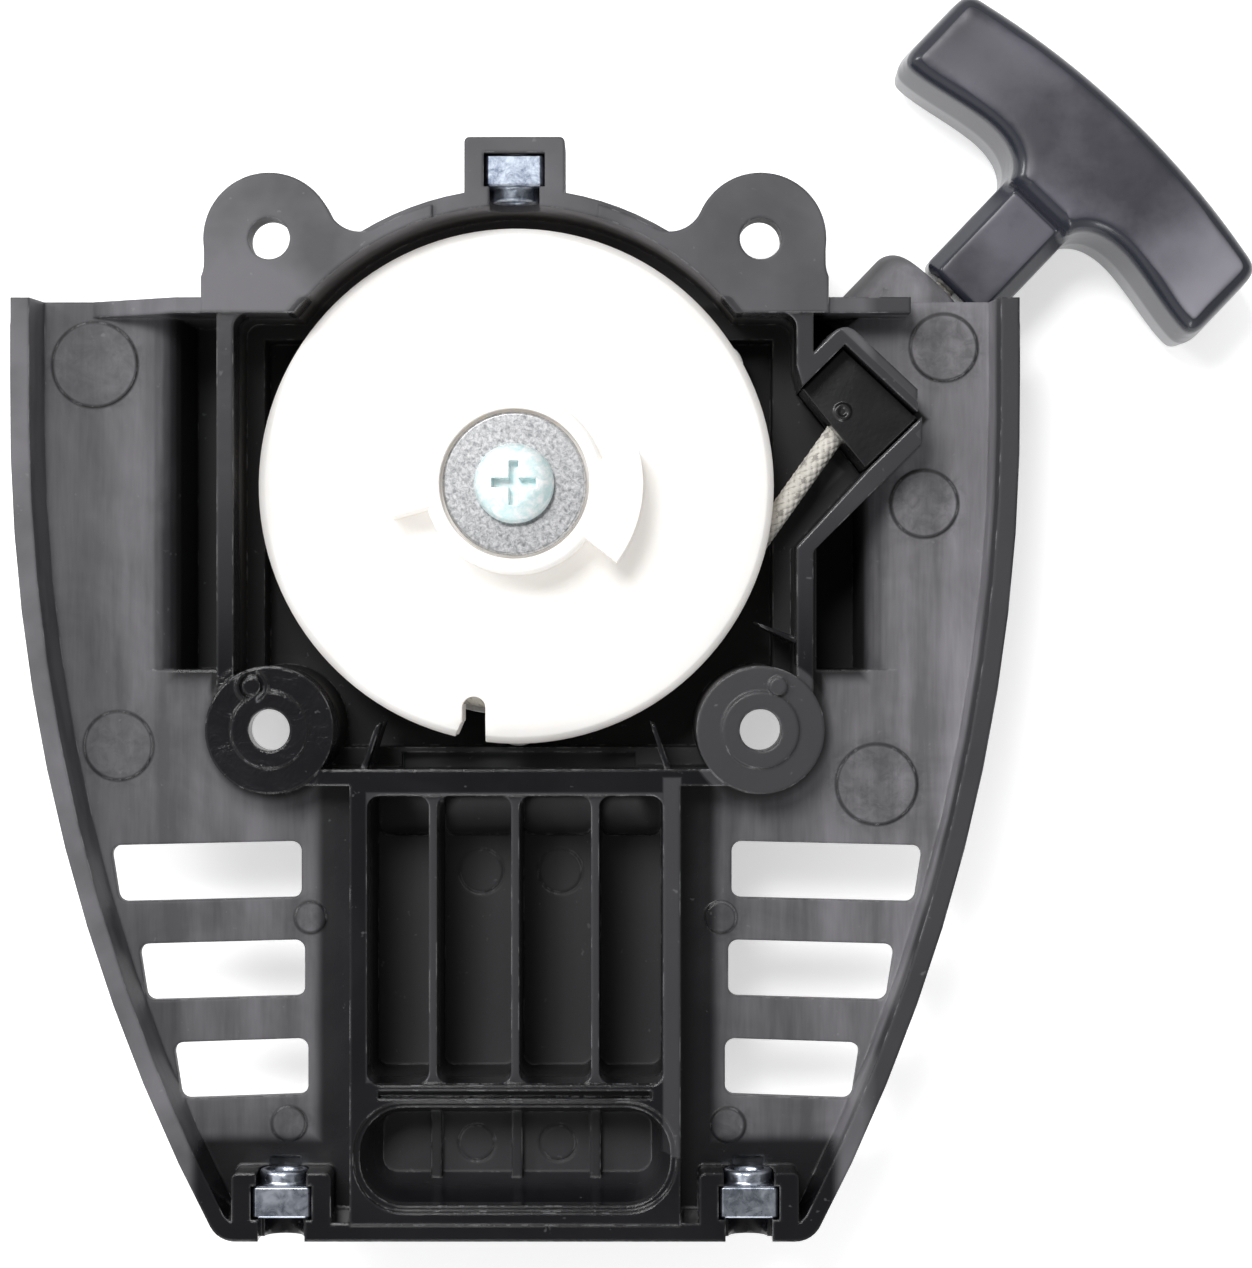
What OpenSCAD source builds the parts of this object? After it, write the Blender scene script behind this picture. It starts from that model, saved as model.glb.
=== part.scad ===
// Recoil starter for a small two-stroke engine: cover with air duct, rope reel, rewind spring and T-handle.
// Millimetres. The origin is on the reel's axis in the plane of the four mounting faces.
// +Z points to the engine, +Y to the top tab, and the rope leaves towards +X +Y.

/* [Mounting] */
// Distance between neighbouring mounting holes
mount_pitch = 65; // [62:0.5:68]
// Diameter of the mounting holes
mount_hole_d = 5.5; // [5:0.1:6]
// Diameter of the mounting lugs
lug_d = 17.4; // [16:0.1:18]
// Thickness of the upper lugs
lug_t = 6; // [4:0.5:8]

/* [Cover] */
// Half of the cover's width at its top edge
half_w = 66.9; // [65:0.1:70]
// Height of the wings' top edge above the reel's axis
wing_top_y = 24.8; // [24:0.1:26]
// Distance from the reel's axis down to the bottom edge
bottom_y = 100.3; // [98:0.1:104]
// Radius of the curved sides
side_r = 235; // [220:1:260]
// Height of the point where the sides start to curve in
side_y = 10; // [5:1:15]
// Width of the rim along the sides and the bottom
rim_w = 2.3; // [2:0.1:3]
// Depth of the wings' floor below the mounting plane
wing_depth = 8; // [7:0.5:9]
// Thickness of the wings' floor
wing_t = 2; // [1.6:0.1:2.5]
// Depth of the dome's outer face below the mounting plane
dome_depth = 27; // [27:0.5:30]
// Wall thickness of the dome
dome_t = 2; // [1.6:0.1:2.4]
// Inner radius of the ring over the reel
ring_ri = 37; // [36.5:0.1:38]
// Wall thickness of the ring and of the box round the reel
wall_t = 2.2; // [2:0.1:2.6]
// Half of the inner width of the box round the reel
box_half = 37.3; // [37:0.1:38]
// Depth of the ledge inside the box
ledge_depth = 17.5; // [17:0.1:18]

/* [Duct] */
// Half of the duct's inner width
duct_half = 19.6; // [19:0.1:20]
// Wall thickness of the duct's sides
duct_t = 2.3; // [2:0.1:2.6]
// Depth of the duct's floor below the mounting plane
duct_depth = 22; // [20:0.5:23]
// Thickness of the vanes in the duct
vane_t = 1.05; // [0.9:0.05:1.4]
// Number of vents in each wing
vent_count = 3; // [1:1:3]
// Height of a vent
vent_h = 7.6; // [6:0.1:8]
// Distance between neighbouring vents
vent_pitch = 13.25; // [12:0.05:13.4]

/* [Reel] */
// Radius of the reel's flanges
reel_r = 34.5; // [34:0.1:35]
// Radius of the rope drum
drum_r = 21; // [19:0.5:23]
// Depth of the reel's engine-side face below the mounting plane
reel_depth = 5; // [4.8:0.1:5.2]
// Height of the hub and the drive dogs above the mounting plane
dog_top = 2.6; // [2:0.1:3]
// Outer radius of the drive dogs
dog_r = 17; // [16:0.1:18]

/* [Rope and handle] */
// Diameter of the starter rope
rope_d = 3; // [2.8:0.1:3.2]
// Direction of the rope's line, from the X axis
rope_angle = 54.5; // [54:0.5:55]
// Distance from the reel's axis to the rope's line
rope_off = 30.8; // [30.6:0.1:31]
// Direction of the handle's axis, from the X axis
handle_angle = 46.3; // [45:0.1:48]
// Half of the grip's length
grip_half = 28; // [26:0.5:30]
// Thickness of the grip
grip_t = 17.6; // [15:0.2:18]
// Width of the handle's stem
stem_w = 10.8; // [10:0.1:11.5]
// Thickness of the handle's stem
stem_t = 11.4; // [10:0.1:12]

/* [Hidden] */
$fn = 96;
eps = 0.01;
over = 5;
wall_top = -0.6;
rim_top = -1;
wing_z = -wing_depth;
wing_under = wing_z - wing_t;
dome_z = -dome_depth;
chamber_z = dome_z + dome_t;
mp = mount_pitch / 2;
lug_r = lug_d / 2;
hole_r = mount_hole_d / 2;
box_top_y = 22.7;
box_bottom_y = -37.7;
bar_y = -41.3;
channel_w = 5.9;
channel_bottom_y = -24.6;
dome_half = box_half + wall_t + channel_w + 2;
recess_half = box_half - 2.5;

// The dome's rounded outer edge: how far each level is moved in, and how high it lies
edge_levels = [[2.6, 0], [1.5, 0.35], [0.7, 1], [0.2, 1.9], [0.06, 2.6], [0.06, 3]];
edge_h = 2.6;

// Duct heights along Y
duct_end_y = -79.4;
pocket_top_y = -82.6;
pocket_end_y = -95.6;
pocket_half = 20.6;
pocket_z = -12;
vane_x = [-10.9, 0, 10.6];

// Vents: the inner end, and the middle of the first one
vent_in = 28.9;
vent_y = -47.9;

// Reel heights
flange_t = 2.2;
groove_top = -reel_depth - flange_t;
groove_bottom = -14.2;
reel_under = -16;
hub_r = 11.9;
washer_r = 9.5;
washer_z = 0.6;
washer_t = 1.2;
bush_r = 6;
post_r = 4.4;
insert_r = 3;
screw_r = 2.5;
hub_low_r = 7.5;
hub_low_z = -24;
dog_from = -37.5;
dog_to = 15.5;

// Spring case heights
case_r = 31;
case_top = -19.2;
cover_top = -18.5;
case_t = 1.2;
ears = [[27.5, 16.8], [-27.5, 16.8], [0, -31.8]];
ear_r = 3.4;

// Wells for the heads of the lower mounting screws
well_r = 5.2;
well_top = 5;
well_slot = 9.4;

// Rope guide pocket: the inner corners, anticlockwise from the left one
pocket_pts = [[38.1, 13], [46.8, 2.1], [53.9, 9], [43.7, 18.6]];
pocket_cut_x = 53.3;
guide_top = -5.5;
guide_z = -22;

// Rope line: a point at distance s along it, at height z
rope_r = rope_d / 2;
rope_x = rope_off * sin(rope_angle);
rope_y = -rope_off * cos(rope_angle);
rope_z = -12;
boss_z = -16.5;
boss_end = 54.2;
boss_r = 8;
boss_round = 3;
boss_len = 14.2;
boss_gap = 0.8;
boss_side = 3;
slope_from = 28;
slope_to = 44;

// Handle: the middle of the stem's end
stem_end = [59.47, 26.2];
stem_len = 15.6;
grip_out = 33.7;
grip_in = 20.3;
grip_arc_r = 111;
knot_z0 = 24;

// Captive nuts: square nuts with a round collar
nut_w = 7.8;
nut_t = 4.2;
collar_r = 3.25;
collar_t = 1.9;
nut_bore_r = 2.1;
nut_z = -5.4;
low_nut_x = 31;
low_nut_y = -97.3;
top_nut_y = 43.8;

// ---- Outlines ----

// Half-width of the cover at height y
function side_x(y) = half_w - side_r + sqrt(side_r * side_r - (side_y - y) * (side_y - y));

function side_pts(inset, top) = [for (i = [0 : 12]) let (y = top - i * (top + bottom_y - inset) / 12)
    [side_x(min(y, side_y)) - inset * 1.04, y]];

function mirrored(pts) = [for (i = [len(pts) - 1 : -1 : 0]) [-pts[i][0], pts[i][1]]];

// The cover's outline seen from the engine, moved in by inset, up to the height top
module cover_outline(inset, top) {
    pts = side_pts(inset, top);
    corner_r = 3.7 - inset * 0.6;
    union() {
        offset(r = corner_r, $fn = 32) offset(delta = -corner_r) polygon(concat(pts, mirrored(pts)));
        translate([-side_x(top - 10) + inset * 1.04, top - 10])
            square([2 * side_x(top - 10) - inset * 2.08, 10]);
    }
}

// The box round the reel, moved out by grow, with its lower corners cut off by cut
module box_outline(grow, cut) {
    x = box_half + grow;
    y = box_bottom_y - grow;
    polygon([[-x, box_top_y + grow], [-x, y + cut], [-x + cut, y], [x - cut, y], [x, y + cut],
        [x, box_top_y + grow]]);
}

module rounded_rect(x0, y0, x1, y1, r) {
    translate([x0 + r, y0 + r])
        offset(r = r, $fn = 32)
            square([x1 - x0 - 2 * r, y1 - y0 - 2 * r]);
}

// The space between the reel and the guide pocket that the rope crosses
module throat_outline() {
    polygon([[36, -9.5], [38.1, -7.4], pocket_pts[1], pocket_pts[0], [37, 17]]);
}

module pocket_outline(grow) {
    offset(r = grow, $fn = 32) polygon(pocket_pts);
}

module slab(z0, z1) {
    translate([0, 0, z0]) linear_extrude(z1 - z0) children();
}

module rod(x, y, z0, z1, r) {
    translate([x, y, z0]) cylinder(h = z1 - z0, r = r);
}

// ---- Rope line ----

// Places children with Z along the rope's line, at distance s along it
module on_rope(s, z) {
    translate([rope_x + s * cos(rope_angle), rope_y + s * sin(rope_angle), z])
        rotate([0, 0, rope_angle]) rotate([0, 90, 0]) children();
}

// The sloping part of the rope's channel, from the guide down to the boss
module rope_slope(r) {
    run = slope_to - slope_from;
    fall = atan((rope_z - boss_z) / run);
    on_rope(slope_from, rope_z) rotate([0, fall, 0])
        translate([0, 0, -3]) cylinder(h = run / cos(fall) + 5, r = r);
}

// ---- Housing ----

module shell_solid() {
    difference() {
        slab(wing_under, rim_top) cover_outline(0, wing_top_y);
        wing_space();
    }
    dome_edges();
    slab(dome_z + edge_h, wing_z) dome_body();
    slab(-duct_depth - dome_t + edge_h / 2, wing_z) duct_outline(0);
    slab(wing_z, wall_top) {
        difference() {
            circle(r = ring_ri + wall_t, $fn = 180);
            translate([-60, -120]) square([120, 120]);
        }
        box_outline(wall_t, 8.5);
        duct_outline(0);
    }
    slab(-24, wing_z) pocket_outline(wall_t);
    slab(-24, wall_top) intersection() {
        pocket_outline(wall_t);
        translate([30, -10]) square([pocket_cut_x - 30, 50]);
    }
    top_walls();
    upper_lugs();
    top_tab();
}

// The space above the wings' floor, with drafted sides
module wing_space() {
    hull() {
        slab(wing_z, wing_z + eps) cover_outline(rim_w + 1, wing_top_y + over);
        slab(over, over + eps) cover_outline(rim_w - 0.6, wing_top_y + over);
    }
}

// The four shapes that stand out from the cover's outer face round the reel
module dome_body() {
    circle(r = ring_ri + wall_t, $fn = 180);
    box_outline(wall_t, 8.5);
    dome_rect(0);
    guide_bulge(0);
    translate([-duct_half - duct_t, -50.4]) square([2 * (duct_half + duct_t), 15]);
}

module dome_rect(inset) {
    rounded_rect(-dome_half + inset, channel_bottom_y - 2 + inset, dome_half + 1.2 - inset, wing_top_y - inset,
        3 - inset);
}

module guide_bulge(inset) {
    offset(delta = -inset) polygon([[30, -2], [49, -2], [56.4, 8.2], [47, wing_top_y], [30, wing_top_y]]);
}

// Their rounded outer edges
module dome_edges() {
    hull() for (l = edge_levels) slab(dome_z + l[1], dome_z + l[1] + eps)
        circle(r = ring_ri + wall_t - l[0], $fn = 120);
    hull() for (l = edge_levels) slab(dome_z + l[1], dome_z + l[1] + eps) box_outline(wall_t - l[0], 8.5);
    hull() for (l = edge_levels) slab(dome_z + l[1], dome_z + l[1] + eps) dome_rect(l[0]);
    hull() for (l = edge_levels) slab(dome_z + l[1], dome_z + l[1] + eps) guide_bulge(l[0]);
    hull() for (l = edge_levels) slab(-duct_depth - dome_t + l[1] / 2, -duct_depth - dome_t + l[1] / 2 + eps)
        duct_outline(l[0] / 2);
}

module duct_outline(inset) {
    x = duct_half + duct_t - inset;
    translate([-x, -98.1 + inset]) square([2 * x, 98.1 - 36.7 - inset]);
}

// The wall from the guide pocket down to the box's right side
module diagonal_wall_outline() {
    polygon([[box_half, -9.6], [box_half, -8.2], [46.8, 2.1], [53.9, 9], [53.9, 5.5], [39.6, -8.7], [39.4, -9.6]]);
}

// Walls along the wings' top edge beside the box, with a sloped end on the left
module top_walls() {
    translate([0, wing_top_y, 0]) rotate([90, 0, 0]) linear_extrude(2.1)
        polygon([[-38, wing_under], [-57, wing_under], [-57, wing_z], [-45, wall_top - 0.2], [-38, wall_top]]);
    translate([38, wing_top_y - 2.1, wing_under]) cube([14.4, 2.1, wall_top - wing_under]);
}

// Upper lugs, blended into the ring and the wings' top edge
module upper_lugs() {
    slab(-lug_t, 0) difference() {
        offset(r = -4.5, $fn = 48) offset(r = 4.5, $fn = 48) {
            circle(r = ring_ri + wall_t - 0.6, $fn = 120);
            for (side = [-1, 1]) {
                translate([side * mp, mp]) circle(r = lug_r, $fn = 64);
                translate([side * 33.3 - 7.8, 20]) square([15.6, 12]);
            }
            translate([-54, wing_top_y - 2.1]) square([108, 2.1]);
            translate([-40, -30]) square([80, 54]);
        }
        translate([-70, -60]) square([140, 60 + wing_top_y - 2.1]);
        translate([-11, 20]) square([22, 30]);
        for (side = [-1, 1]) translate([side * 51.5 - 10, 15]) square([20, 15]);
    }
}

// Lower bosses: columns in the box's corners with a raised seat
module lower_bosses() {
    for (side = [-1, 1]) {
        rod(side * mp, -mp, dome_z, -0.3, lug_r - 0.2);
        rod(side * mp, -mp, -1, 0, 5.1);
        rod(side * 34.8, -26.7, -1, 0.5, 1.2);
    }
    translate([-34.8, -26.7, -1]) difference() {
        cylinder(h = 1.2, r = 2.2);
        translate([0, 0, -1]) cylinder(h = 3, r = 1.6);
        translate([-0.7, -3, -1]) cube([1.4, 6, 3]);
    }
}

// Cuts for the mounting screws: a clearance hole and a wide well for the head from the outside
module mount_cuts() {
    for (side = [-1, 1]) {
        rod(side * mp, mp, -lug_t - 1, 1, hole_r);
        rod(side * mp, -mp, -well_top - 1, 1, hole_r);
        rod(side * mp, -mp, dome_z - 1, -well_top, well_r);
        // The well is open to the outside, below the wing
        translate([side * mp, -mp, dome_z - 1]) rotate([0, 0, side > 0 ? -45 : -135])
            translate([0, -well_slot / 2, 0]) cube([25, well_slot, wing_under - dome_z]);
    }
}

// Everything hollow around the reel
module chamber_cuts() {
    slab(-ledge_depth, over) {
        circle(r = ring_ri, $fn = 180);
        rounded_rect(-box_half, box_bottom_y, box_half, box_top_y, 1.9);
        throat_outline();
    }
    slab(chamber_z, over) intersection() {
        rounded_rect(-recess_half, box_bottom_y + 2.4, recess_half, 60, 4);
        union() {
            circle(r = ring_ri - 2.2, $fn = 180);
            translate([-60, -60]) square([120, 60 + box_top_y - 2.2]);
        }
    }
    channel_cuts();
}

// Deep channels between the box and the dome's sides, with a rounded shoulder at the wing's floor
module channel_cuts() {
    x0 = box_half + wall_t;
    mirror([1, 0, 0]) channel_cut(x0, x0 + channel_w, box_top_y);
    intersection() {
        channel_cut(x0 + 0.8, x0 + channel_w + 1.4, 8);
        slab(dome_z - 1, over + 1) polygon([[39, -40], [60, -40], [60, 8], [53.9, 6.2], [40.3, -8.3], [39, -9]]);
    }
    slab(chamber_z, over)
        polygon([[x0, box_top_y], [46, box_top_y], [44.5, 21.6], [42.2, 20.7], [x0, 17.9]]);
}

module channel_cut(x_in, x_out, y_top) {
    shoulder = 4.5;
    translate([0, y_top, 0]) rotate([90, 0, 0]) linear_extrude(y_top - channel_bottom_y)
        polygon(concat([[x_in, over], [x_in, chamber_z], [x_out - 0.5, chamber_z]],
            [for (a = [0 : 15 : 90]) [x_out + shoulder * (1 - cos(a)), wing_z - shoulder * (1 - sin(a))]],
            [[x_out + shoulder, over]]));
}

module pocket_cuts() {
    slab(guide_z, over) pocket_outline(0);
}

// The four bays between the vanes, the pocket below them with its sloped sides, and small marks
module duct_cuts() {
    floor_z = -duct_depth;
    sides = concat([-duct_half], vane_x, [duct_half]);
    for (i = [0 : len(sides) - 2]) {
        x0 = sides[i] + (i > 0 ? vane_t / 2 : 0);
        x1 = sides[i + 1] - (i < len(vane_x) ? vane_t / 2 : 0);
        slab(floor_z, over) rounded_rect(x0, duct_end_y, x1, bar_y, 1.5);
        slab(floor_z - 1, over) rounded_rect(x0, bar_y - 6.3, x1, bar_y, 1.5);
    }
    slab(-1.5, over) rounded_rect(-duct_half, duct_end_y - 0.1, duct_half, bar_y + 0.1, 1.7);
    slab(-2.4, over) translate([-duct_half + 1.5, duct_end_y - 1.9]) square([2 * duct_half - 3, 1]);
    slab(-4, over) rounded_rect(-pocket_half, pocket_end_y, pocket_half, pocket_top_y, 6);
    hull() {
        slab(-4, -3) rounded_rect(-pocket_half, pocket_end_y, pocket_half, pocket_top_y, 6);
        slab(pocket_z, -11) rounded_rect(-pocket_half + 2.4, pocket_end_y + 2.9, pocket_half - 2.4,
            pocket_top_y - 1.9, 2);
    }
    slab(-1.5, over) rounded_rect(-pocket_half - 0.8, pocket_end_y - 0.8, pocket_half + 0.8, pocket_top_y + 0.8, 6.6);
    // Window under the upper bar, from the duct to the space round the reel
    translate([-16, -43, -20]) cube([32, 7, 12]);
    for (x = [-5.3, 5.6]) translate([x, -52.6, floor_z]) ring_groove(3.2);
    for (x = [-5.5, 5.5]) translate([x, -88.7, pocket_z]) ring_groove(2.6);
}

module ring_groove(r) {
    translate([0, 0, -0.12]) difference() {
        cylinder(h = 0.6, r = r);
        translate([0, 0, -1]) cylinder(h = 3, r = r - 0.3);
    }
}

// Low ribs in the rounded pocket
module vanes() {
    for (x = vane_x)
        slab(pocket_z - 0.5, pocket_z + 1.6) translate([x - 0.7, pocket_end_y + 1]) square([1.4, 11]);
}

// Vents through the wings: the outer end follows the rim
module vent_cuts() {
    for (side = [-1, 1], i = [0 : vent_count - 1]) {
        y = vent_y - i * vent_pitch;
        top_out = side_x(y) - 5;
        low_out = top_out - 1.2;
        slab(wing_under - 1, wing_z + 1) offset(r = 1.3, $fn = 24) offset(delta = -1.3)
            polygon([[side * (vent_in - i * 0.45), y + 0.3], [side * (vent_in - i * 0.45), y - vent_h + 0.3],
                [side * low_out, y - vent_h - 0.3], [side * top_out, y - 0.3]]);
    }
}

// Small slanted ribs at the box's lower corners
module gussets() {
    for (side = [-1, 1])
        slab(-ledge_depth, -3) polygon([[side * 17.9, -31.6], [side * 18.6, -31.9],
            [side * 20.9, -38.5], [side * 20.1, -38.5]]);
    slab(-ledge_depth, -4) polygon([[31.9, -18.2], [32.6, -18.8], [38, -21.4], [38, -20.4]]);
}

// Ejector marks on the wings: thin raised discs
module wing_marks() {
    for (m = [[57.4, 18.7, 4.5], [54.8, -2.3, 4.5], [48.4, -40, 5.4], [-56.7, 16.4, 5.7], [-53.5, -34.8, 4.6],
            [27.4, -57.9, 2.1], [28.4, -85.8, 2.3], [-27.7, -57.9, 2.1], [-30.6, -85.6, 2.3]])
        rod(m[0], m[1], wing_z - 0.5, wing_z + 0.22, m[2]);
}

// The outer boss that the rope leaves through: a round body whose end faces the handle's stem
module rope_boss() {
    on_handle() translate([-boss_gap - boss_len, -boss_side, 0]) rotate([0, 90, 0]) rotate_extrude() {
        square([boss_r - boss_round, boss_len]);
        square([boss_r, boss_len - boss_round]);
        translate([boss_r - boss_round, boss_len - boss_round]) circle(r = boss_round);
    }
    slab(-24, wing_under + 0.5) polygon([[44, 14], [53, 7], [59, 18], [58, 21.5], [49.5, 27]]);
}

// Tab on the ring that holds the top nut, open towards the engine
module top_tab() {
    slab(-10.5, wall_top) rounded_rect(-6.7, 36, 6.6, 46, 0.7);
}

module top_tab_cuts() {
    cx = -0.1;
    slab(nut_z - nut_w / 2 - 0.2, over)
        translate([cx - nut_w / 2 - 0.15, top_nut_y - nut_t - 0.15]) square([nut_w + 0.3, nut_t + 0.3]);
    slab(nut_z, over) translate([cx - collar_r - 0.1, 35]) square([2 * collar_r + 0.2, 6]);
    translate([cx, 47, nut_z]) rotate([90, 0, 0]) cylinder(h = 4, r = 2.6);
    translate([cx, 40, nut_z]) rotate([90, 0, 0]) cylinder(h = 5, r = collar_r + 0.1);
}

// Blocks at the bottom corners that hold the lower nuts
module low_blocks() {
    for (side = [-1, 1])
        slab(-11.5, rim_top) rounded_rect(side * low_nut_x - 6.6, -99.5, side * low_nut_x + 6.6, -91.2, 0.8);
}

module low_block_cuts() {
    for (side = [-1, 1]) {
        x = side * low_nut_x;
        slab(nut_z - nut_w / 2 - 0.2, over)
            translate([x - nut_w / 2 - 0.15, low_nut_y - 0.15]) square([nut_w + 0.3, nut_t + 0.3]);
        slab(nut_z, over) {
            translate([x - collar_r - 0.1, low_nut_y + nut_t - 0.5]) square([2 * collar_r + 0.2, 6]);
            translate([x - 3.1, -104]) square([6.2, 8]);
        }
        translate([x, low_nut_y + 1, nut_z]) rotate([90, 0, 0]) cylinder(h = 6, r = 2.6);
        translate([x, -90, nut_z]) rotate([90, 0, 0]) cylinder(h = 5, r = collar_r + 0.1);
    }
}

// The post that the reel turns on, and the bosses under the spring case's ears
module posts() {
    rod(0, 0, chamber_z - 1, washer_z, post_r);
    for (e = ears) rod(e[0], e[1], chamber_z - 1, case_top - 3, 2.6);
}

module post_cuts() {
    rod(0, 0, -20, over, insert_r);
    for (e = ears) rod(e[0], e[1], chamber_z + 0.2, over, 1.2);
}

module rope_cuts() {
    rope_slope(2.3);
    on_rope(42, boss_z) cylinder(h = 20, r = 2.6);
    on_rope(boss_end - 7, boss_z) cylinder(h = 20, r = 4.4);
    on_rope(boss_end, boss_z) cylinder(h = 12, r = 5.2);
}

module housing() {
    color([0.07, 0.07, 0.075]) difference() {
        union() {
            difference() {
                union() {
                    shell_solid();
                    low_blocks();
                }
                chamber_cuts();
                duct_cuts();
                vent_cuts();
            }
            lower_bosses();
            slab(chamber_z - 1, wall_top) diagonal_wall_outline();
            vanes();
            gussets();
            wing_marks();
            rope_boss();
            posts();
        }
        pocket_cuts();
        mount_cuts();
        top_tab_cuts();
        low_block_cuts();
        post_cuts();
        rope_cuts();
    }
}

// ---- Rope guide ----

module rope_guide() {
    color([0.06, 0.06, 0.065]) difference() {
        slab(guide_z, guide_top) pocket_outline(-0.12);
        rope_slope(2.2);
        on_rope(20, rope_z) cylinder(h = 9, r1 = 5.2, r2 = 2.2);
    }
}

module guide_eyelet() {
    color([0.75, 0.75, 0.74]) on_rope(boss_end - 7, boss_z) rotate_extrude() difference() {
        union() {
            translate([2.1, 0]) square([2.3, 7]);
            translate([2.1, 7]) square([2.9, 0.6]);
        }
        translate([2.1, 7.6]) circle(r = 0.5, $fn = 24);
    }
}

// ---- Rewind spring and its case ----

module ear_outline(r) {
    for (e = ears) {
        translate(e) circle(r = r, $fn = 48);
        rotate(atan2(e[1], e[0])) translate([20, -r]) square([norm(e) - 20, 2 * r]);
    }
}

module spring_case() {
    color([0.16, 0.16, 0.17]) difference() {
        union() {
            slab(chamber_z, case_top) circle(r = case_r, $fn = 180);
            slab(case_top - 3, case_top) ear_outline(ear_r);
        }
        slab(chamber_z + case_t, over) circle(r = case_r - 1.5, $fn = 180);
        rod(0, 0, chamber_z - 1, over, 9.2);
        for (e = ears) {
            rod(e[0], e[1], chamber_z - 1, over, 1.6);
            rod(e[0], e[1], chamber_z - 1, case_top - 3, 2.9);
        }
    }
}

module spring_cover() {
    color([0.66, 0.66, 0.67]) difference() {
        slab(case_top, cover_top) {
            circle(r = case_r, $fn = 180);
            ear_outline(ear_r);
        }
        rod(0, 0, case_top - 1, over, 8.6);
        for (e = ears) rod(e[0], e[1], case_top - 1, over, 1.6);
    }
}

module case_screws() {
    color([0.72, 0.73, 0.75]) for (e = ears) translate([e[0], e[1], 0]) difference() {
        union() {
            rod(0, 0, chamber_z + 0.4, cover_top + eps, 1.2);
            rod(0, 0, cover_top, cover_top + 1.7, 2.8);
        }
        translate([-0.4, -1.8, cover_top + 0.9]) cube([0.8, 3.6, 2]);
        translate([-1.8, -0.4, cover_top + 0.9]) cube([3.6, 0.8, 2]);
    }
}

// A flat strip wound in a spiral: turns loose turns between the hub and the case
function spiral(r0, r1, turns, steps, off) = [for (i = [0 : steps])
    let (a = 360 * turns * i / steps, r = r0 + (r1 - r0) * i / steps + off) [r * cos(a), r * sin(a)]];

module rewind_spring() {
    strip_t = 0.5;
    inside = spiral(8, 28.6, 9, 216, 0);
    outside = spiral(8, 28.6, 9, 216, strip_t);
    back = [for (i = [len(outside) - 1 : -1 : 0]) outside[i]];
    color([0.42, 0.44, 0.48]) slab(-23.6, -19.6) polygon(concat(inside, back));
}

// ---- Reel and its bearing ----

module thrust_washer() {
    color([0.7, 0.7, 0.7]) difference() {
        rod(0, 0, chamber_z, chamber_z + 0.6, 8.4);
        rod(0, 0, chamber_z - 1, chamber_z + 2, post_r);
    }
}

module post_insert() {
    color([0.72, 0.58, 0.3]) difference() {
        rod(0, 0, -20, washer_z, insert_r);
        rod(0, 0, -17, over, screw_r);
    }
}

module sector(r, a0, a1) {
    polygon(concat([[0, 0]], [for (i = [0 : 4]) let (a = a0 + (a1 - a0) * i / 4) [r * cos(a), r * sin(a)]]));
}

// A drive dog: part of a ring round the hub
module dog(turn) {
    slab(-reel_depth - 0.5, dog_top) rotate(turn) intersection() {
        difference() {
            circle(r = dog_r, $fn = 120);
            circle(r = hub_r - 1, $fn = 96);
        }
        sector(2 * dog_r, dog_from, dog_to);
    }
}

// Section of the reel's flanges, drum and hub, right of its axis
module reel_section() {
    polygon([[bush_r, hub_low_z], [hub_low_r, hub_low_z], [hub_low_r, reel_under], [reel_r - 0.4, reel_under],
        [reel_r, reel_under + 0.4], [reel_r, groove_bottom], [drum_r, groove_bottom], [drum_r, groove_top],
        [reel_r, groove_top], [reel_r, groove_top + 1], [reel_r - 0.9, -reel_depth - 0.35],
        [reel_r - 2.8, -reel_depth], [hub_r, -reel_depth], [hub_r, dog_top - 0.5], [hub_r - 0.5, dog_top],
        [washer_r + 0.4, dog_top], [washer_r + 0.4, 0.2], [bush_r, 0.2]]);
}

module reel() {
    color([0.93, 0.92, 0.88]) difference() {
        union() {
            rotate_extrude($fn = 180) reel_section();
            dog(0);
            dog(180);
        }
        // Notch in both flanges for winding up the spring
        slab(reel_under - 1, 0) {
            rounded_rect(-7.2, -40, -4.1, -28.2, 1.5);
            polygon([[-9.2, -36], [-7.3, -31.6], [-5, -31.2], [-5, -36]]);
        }
        // Hidden pocket and hole for the rope's inner knot
        rotate([0, 0, 60]) {
            rod(15.5, 0, reel_under - 1, -8.5, 3.6);
            translate([15.5, 0, -11]) rotate([0, 90, 0]) cylinder(h = 10, r = 1.8);
        }
        // Lightening pockets under the reel
        for (a = [0, 120, 180, 240, 300]) rotate([0, 0, a]) rod(15, 0, reel_under - 1, -8.5, 3.6);
    }
}

module reel_bush() {
    color([0.74, 0.6, 0.34]) difference() {
        rod(0, 0, hub_low_z, 0.2, bush_r);
        rod(0, 0, hub_low_z - 1, 1, post_r + 0.05);
    }
}

module retaining_washer() {
    color([0.62, 0.63, 0.64]) rotate_extrude($fn = 120)
        polygon([[2.7, washer_z], [washer_r - 0.2, washer_z], [washer_r, washer_z + 0.2],
            [washer_r, washer_z + washer_t - 0.3], [washer_r - 0.3, washer_z + washer_t],
            [2.7, washer_z + washer_t]]);
}

module center_screw() {
    head_z = washer_z + washer_t;
    color([0.78, 0.8, 0.83]) difference() {
        rotate_extrude($fn = 96) polygon([[0, -15.5], [screw_r - 0.6, -15.5], [screw_r, -14.8], [screw_r, head_z],
            [5.25, head_z], [5.25, head_z + 1.3], [4.9, head_z + 2.1], [4.1, head_z + 2.7], [2.8, head_z + 3.1],
            [0, head_z + 3.2]]);
        for (a = [0, 90]) rotate([0, 0, a]) translate([-2.9, -0.6, head_z + 0.9]) cube([5.8, 1.2, 4]);
    }
}

// ---- Rope ----

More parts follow.
